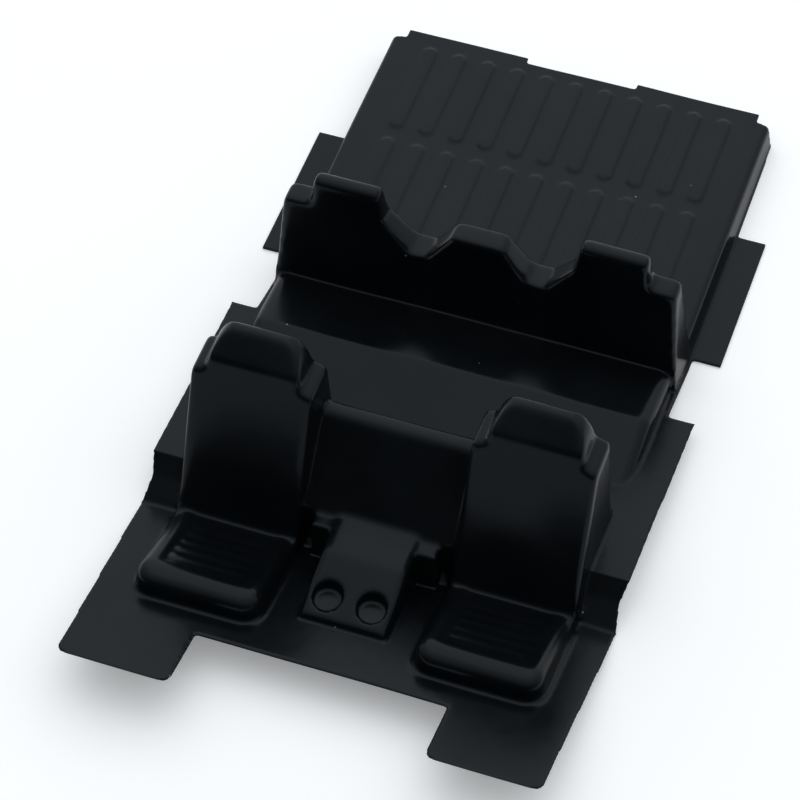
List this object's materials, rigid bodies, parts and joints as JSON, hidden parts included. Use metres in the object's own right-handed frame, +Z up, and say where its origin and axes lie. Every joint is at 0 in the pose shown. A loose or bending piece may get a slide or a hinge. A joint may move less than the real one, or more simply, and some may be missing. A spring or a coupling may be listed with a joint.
{
  "type": "model vehicle cabin interior tray",
  "caption": "Vacuum-formed one-piece cabin interior tray for a scale model vehicle, with bucket seats, console, rear bench and ribbed load deck.",
  "frame": {"origin": "centre of the bounding box in plan, at the height of the lowest underside", "axes": "+Y from the front tabs to the rear load deck, +Z up out of the formed side, +X across the seats"},
  "size_m": [0.161, 0.293, 0.0685],
  "materials": {
    "black_plastic": "satin black formed sheet"
  },
  "bodies": {
    "root": {"interior_tray": "black_plastic"}
  },
  "joints": []
}
